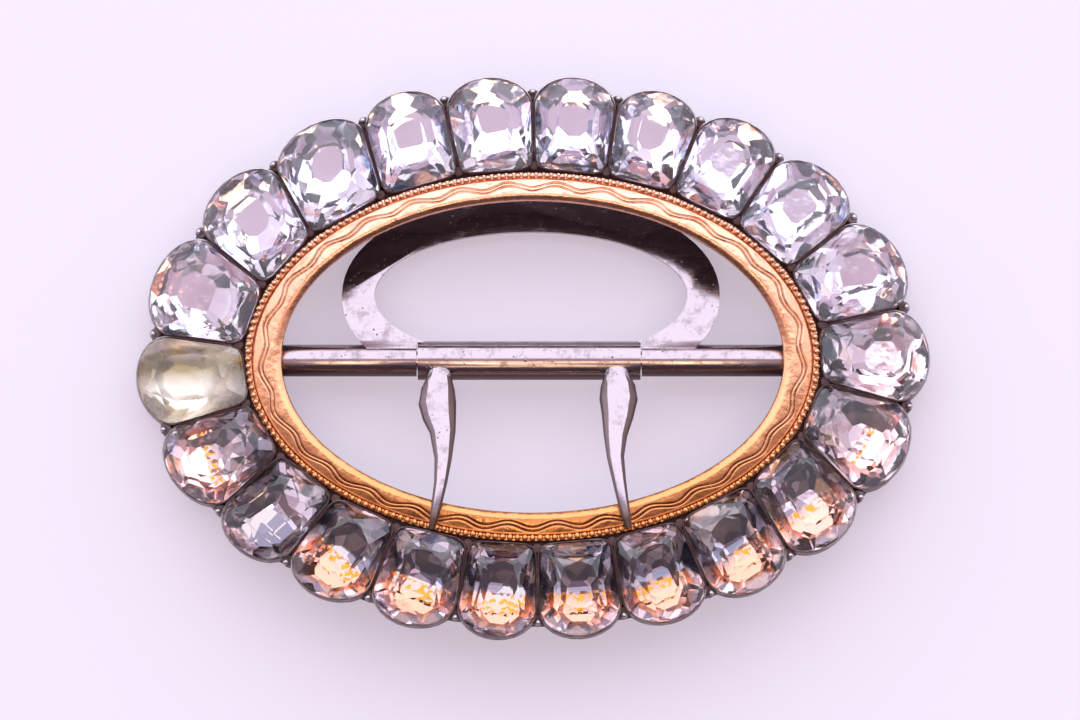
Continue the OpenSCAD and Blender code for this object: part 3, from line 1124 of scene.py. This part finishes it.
def across_band(tree, x, y):
    """How far round the oval a place is, its share of the way in, and the band's width there."""
    outer, inner = oval_edges()
    steps = (outer[0] - inner[0], outer[1] - inner[1])
    turn = calc(tree, "ARCTAN2", calc(tree, "DIVIDE", y, outer[1] - steps[1] / 2),
                calc(tree, "DIVIDE", x, outer[0] - steps[0] / 2))
    way_in, width = 0, 0
    for wave, spot, half, step in ((calc(tree, "COSINE", turn), x, outer[0], steps[0]),
                                   (calc(tree, "SINE", turn), y, outer[1], steps[1])):
        short = calc(tree, "SUBTRACT", calc(tree, "MULTIPLY", wave, half), spot)
        way_in = calc(tree, "ADD", calc(tree, "MULTIPLY", short, wave), way_in)
        square = calc(tree, "MULTIPLY", wave, wave)
        width = calc(tree, "ADD", calc(tree, "MULTIPLY", square, step), width)
    return turn, calc(tree, "DIVIDE", way_in, width), width


def wave_grooves(tree, turn, share, width):
    """How deep a place lies in the two waving lines, as a share of their depth."""
    rim = sizes("buckle_rim")
    lead = calc(tree, "SINE", calc(tree, "MULTIPLY", turn, 2))
    even = calc(tree, "SUBTRACT", turn, calc(tree, "MULTIPLY", lead, OVAL_LEAD))
    swing = calc(tree, "SINE", calc(tree, "MULTIPLY", even, rim.waves))
    swing = calc(tree, "MULTIPLY", swing, in_mm(rim.swing))
    off = calc(tree, "SUBTRACT", share, (WAVE_FROM + WAVE_TO) / 2)
    off = calc(tree, "SUBTRACT", calc(tree, "MULTIPLY", off, width), swing)
    grooves = 0
    for line in WAVE_LINES:
        far = calc(tree, "DIVIDE", calc(tree, "SUBTRACT", off, line), WAVE_LINE_WIDTH)
        square = calc(tree, "MULTIPLY", far, far)
        groove = calc(tree, "EXPONENT", calc(tree, "MULTIPLY", square, -1))
        grooves = calc(tree, "ADD", groove, grooves)
    return grooves


def keep_relief(tree, shape, value):
    """Stores how far each point of a shape stands out of the grooves, and returns the shape."""
    keep = tree.nodes.new("GeometryNodeStoreNamedAttribute")
    keep.data_type = "FLOAT"
    keep.inputs["Name"].default_value = "relief"
    tree.links.new(shape, keep.inputs["Geometry"])
    connect(tree, value, keep.inputs["Value"])
    return keep.outputs[0]


def chase_tree():
    """Engraves the waving lines in the gold band and strings the beads round its edge."""
    tree, shape, out, (x, y, z) = shape_tree("chase the waves")
    turn, share, width = across_band(tree, x, y)
    strip = calc(tree, "MULTIPLY", between(tree, share, WAVE_FROM, WAVE_FROM + 0.04),
                 between(tree, share, WAVE_TO + 0.02, WAVE_TO - 0.03))
    on_top = calc(tree, "GREATER_THAN", z, in_mm(sizes("buckle_rim").foot) + 0.5)
    strip = calc(tree, "MULTIPLY", strip, on_top)
    cut = calc(tree, "MULTIPLY", wave_grooves(tree, turn, share, width), strip)
    channel = calc(tree, "MULTIPLY", between(tree, share, *CHANNEL_START),
                   between(tree, share, *CHANNEL_END))
    dark = calc(tree, "MAXIMUM", cut, calc(tree, "MULTIPLY", channel, CHANNEL_DARK))
    kept = keep_relief(tree, shape, calc(tree, "SUBTRACT", 1, dark))
    height = calc(tree, "SUBTRACT", z, calc(tree, "MULTIPLY", cut, WAVE_DEPTH))
    both = tree.nodes.new("GeometryNodeJoinGeometry")
    tree.links.new(place(tree, kept, x, y, height), both.inputs[0])
    tree.links.new(beads(tree), both.inputs[0])
    tree.links.new(both.outputs[0], out)
    return tree


def beads(tree):
    """A row of small beads, evenly spaced round the oval."""
    rim = sizes("buckle_rim")
    circle = tree.nodes.new("GeometryNodeCurvePrimitiveCircle")
    circle.inputs["Resolution"].default_value = 256
    circle.inputs["Radius"].default_value = 1
    oval = tree.nodes.new("GeometryNodeTransform")
    oval.inputs["Scale"].default_value = (in_mm(rim.half_length) - BEAD_INSET,
                                          in_mm(rim.half_width) - BEAD_INSET, 1)
    oval.inputs["Translation"].default_value = (0, 0, in_mm(rim.foot) + BEAD_HEIGHT)
    spaced = tree.nodes.new("GeometryNodeResampleCurve")
    spaced.inputs["Count"].default_value = rim.beads
    bead = tree.nodes.new("GeometryNodeMeshUVSphere")
    bead.inputs["Radius"].default_value = BEAD_RADIUS
    bead.inputs["Segments"].default_value = 8
    bead.inputs["Rings"].default_value = 6
    string = tree.nodes.new("GeometryNodeInstanceOnPoints")
    uneven = tree.nodes.new("FunctionNodeRandomValue")
    uneven.data_type = "FLOAT_VECTOR"
    uneven.inputs[0].default_value = (0.9, 0.9, 0.85)
    uneven.inputs[1].default_value = (1.06, 1.06, 1)
    real = tree.nodes.new("GeometryNodeRealizeInstances")
    for source, target in ((circle.outputs[0], oval.inputs["Geometry"]),
                           (oval.outputs[0], spaced.inputs["Curve"]),
                           (spaced.outputs[0], string.inputs["Points"]),
                           (bead.outputs[0], string.inputs["Instance"]),
                           (uneven.outputs[0], string.inputs["Scale"]),
                           (string.outputs[0], real.inputs[0])):
        tree.links.new(source, target)
    return keep_relief(tree, real.outputs[0], 0.8)


class BUCKLE_OT_rim(bpy.types.Operator):
    """Makes the gold band with its bevel, its chased waves and its row of beads"""

    bl_idname = "buckle.rim"
    bl_label = "Gold Rim"

    def execute(self, context):
        piece = oval_ring("gold_band", band_rows(), BAND_SIDES)
        run_tree(piece, chase_tree())
        carry_up(piece)
        smooth(piece, 50)
        hand_over(piece, "frame", ["gold_rim"], [gold_finish()])
        return {"FINISHED"}


# Steel

def soften(piece, crisp):
    """Rounds a solid's edges and leaves those sharper than an angle crisp."""
    edit(piece)
    bpy.ops.mesh.dissolve_limited(angle_limit=math.radians(1))
    rest()
    round_off = piece.modifiers.new("round the edges", "BEVEL")
    round_off.width = in_mm(sizes("buckle_steel").edge)
    round_off.segments = 3
    round_off.limit_method = "ANGLE"
    round_off.angle_limit = math.radians(28)
    round_off.harden_normals = False
    put_on(piece, round_off)
    smooth(piece, crisp)


# The prongs lie past this place towards -Y, and their sides' normals have more of X than this.
PRONG_ROOT = 1.8
PRONG_LEAN = 0.27
# The tubes lie within this reach of the spindle, and the normals of their painted-shade sides have
# more of -Y.
TUBE_REACH = 1.75
TUBE_LEAN = 0.76


def paint_shade_on_sides(piece):
    """Marks painted shade on the prongs' sloping sides and on the tubes' sides towards -Y."""
    axis = spindle_height()
    side = piece.data.attributes.new("side", "FLOAT", "FACE")
    for number, face in enumerate(piece.data.polygons):
        if face.center.y < -PRONG_ROOT and abs(face.normal.x) > PRONG_LEAN:
            # Painted shade: the prong sides facing +X are darker than those facing -X.
            side.data[number].value = 0.97 if face.normal.x > 0 else 0.8
        elif math.hypot(face.center.y, face.center.z - axis) < TUBE_REACH:
            if face.normal.y < -TUBE_LEAN:
                side.data[number].value = 0.95


class BUCKLE_OT_steel(bpy.types.Operator):
    """Finishes the spindle, the tongue and the loop in pitted steel"""

    bl_idname = "buckle.steel"
    bl_label = "Tongue, Loop and Spindle"

    def execute(self, context):
        steel = steel_finish()
        for place_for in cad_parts["spindle"].material_slots:
            place_for.material = steel
        for node, name in (("tongue", "pronged_tongue"), ("loop", "strap_loop")):
            piece = solid_copy(node, name)
            soften(piece, 16 if node == "tongue" else 30)
            paint_shade_on_sides(piece)
            hand_over(piece, node, [node], [steel])
        return {"FINISHED"}


# Stage

def light(name, size_x, size_y, distance, tilt, power, colour):
    """An area light that looks at the buckle from a distance, tilted towards +Y from overhead."""
    lamp = bpy.data.lights.new(name, "AREA")
    lamp.shape = "RECTANGLE"
    lamp.size = size_x
    lamp.size_y = size_y
    lamp.energy = power
    lamp.color = colour
    holder = bpy.data.objects.new(name, lamp)
    lean = math.radians(tilt)
    holder.location = (0, distance * math.sin(lean), distance * math.cos(lean))
    holder.rotation_euler = (-lean, 0, 0)
    holder.visible_camera = False
    bpy.context.scene.collection.objects.link(holder)


def bright_wall():
    """A room with a bright wall towards +Y, dimmer overhead and dark towards -Y."""
    stage = sizes("buckle_stage")
    world = bpy.data.worlds.new("bright wall")
    world.use_nodes = True
    tree = world.node_tree
    aim = axes(tree, tree.nodes.new("ShaderNodeTexCoord").outputs["Generated"])
    low = calc(tree, "MULTIPLY", calc(tree, "SUBTRACT", 1, aim["Z"]), 0.35)
    lit = between(tree, calc(tree, "ADD", aim["Y"], low), 0.07, 0.16)
    dark = [0.15 * value for value in stage.room]
    near = blend(tree, between(tree, aim["Y"], -0.65, -0.3), dark, stage.room)
    tree.links.new(blend(tree, lit, near, stage.wall), tree.nodes["Background"].inputs["Color"])
    return world


# The camera's tilt from overhead, in degrees, and the place that it looks at, in metres.
CAMERA_TILT = 5
CAMERA_TARGET = Vector((0.00065, 0.0, 0.005))


def camera_overhead(stage):
    """The camera, tilted a little towards -Y from overhead."""
    lens = bpy.data.cameras.new("camera")
    lens.lens = stage.lens
    lens.clip_start = 0.005
    camera = bpy.data.objects.new("camera", lens)
    distance = stage.framed * stage.lens / lens.sensor_width
    tilt = math.radians(CAMERA_TILT)
    towards = Vector((0, -math.sin(tilt), math.cos(tilt)))
    camera.location = CAMERA_TARGET + towards * distance
    camera.rotation_euler = (tilt, 0, 0)
    bpy.context.scene.collection.objects.link(camera)
    return camera


class BUCKLE_OT_stage(bpy.types.Operator):
    """Lays out the floor, the lights and the camera"""

    bl_idname = "buckle.stage"
    bl_label = "Stage"

    def execute(self, context):
        stage = sizes("buckle_stage")
        rest()
        bpy.ops.mesh.primitive_plane_add(size=3)
        floor = named("floor")
        bpy.ops.mesh.subdivide(number_cuts=4)
        rest()
        floor.data.materials.append(floor_finish())
        light("softbox", 0.75, 0.72, 0.46, 46, stage.softbox, (0.94, 0.94, 1.0))
        light("lamp", 0.07, 0.05, 0.5, -21, stage.lamp, (1.0, 0.78, 0.42))
        light("warm card", 0.16, 0.2, 0.5, -20, stage.card, (1.0, 0.74, 0.40))
        context.scene.world = bright_wall()
        context.scene.view_settings.view_transform = "Standard"
        context.scene.camera = camera_overhead(stage)
        return {"FINISHED"}


class VIEW3D_PT_buckle(bpy.types.Panel):
    """The buckle's steps, in order"""

    bl_label = "Oval Paste Buckle"
    bl_space_type = "VIEW_3D"
    bl_region_type = "UI"
    bl_category = "Buckle"

    def draw(self, context):
        for step in STEPS:
            self.layout.operator(step.bl_idname)
        for group in GROUPS:
            box = self.layout.box()
            values = getattr(context.scene, group)
            for name in values.bl_rna.properties.keys():
                if name not in ("rna_type", "name"):
                    box.prop(values, name)


GROUPS = {
    "buckle_arch": BuckleArch,
    "buckle_stones": BuckleStones,
    "buckle_setting": BuckleSetting,
    "buckle_rim": BuckleRim,
    "buckle_steel": BuckleSteel,
    "buckle_stage": BuckleStage,
}
STEPS = (BUCKLE_OT_stage, BUCKLE_OT_setting, BUCKLE_OT_rim, BUCKLE_OT_steel, BUCKLE_OT_stones)


def register():
    """Registers the groups, the steps and the panel."""
    for name, group in GROUPS.items():
        bpy.utils.register_class(group)
        setattr(bpy.types.Scene, name, PointerProperty(type=group))
    for step in STEPS + (VIEW3D_PT_buckle,):
        bpy.utils.register_class(step)


def unregister():
    """Removes all that register added."""
    for step in reversed(STEPS + (VIEW3D_PT_buckle,)):
        bpy.utils.unregister_class(step)
    for name, group in GROUPS.items():
        delattr(bpy.types.Scene, name)
        bpy.utils.unregister_class(group)


def main():
    """Makes the buckle's looks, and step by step."""
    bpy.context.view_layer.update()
    register()
    bpy.ops.buckle.stage()
    bpy.ops.buckle.setting()
    bpy.ops.buckle.rim()
    bpy.ops.buckle.steel()
    bpy.ops.buckle.stones()
    rest()


if __name__ == "__main__":
    main()
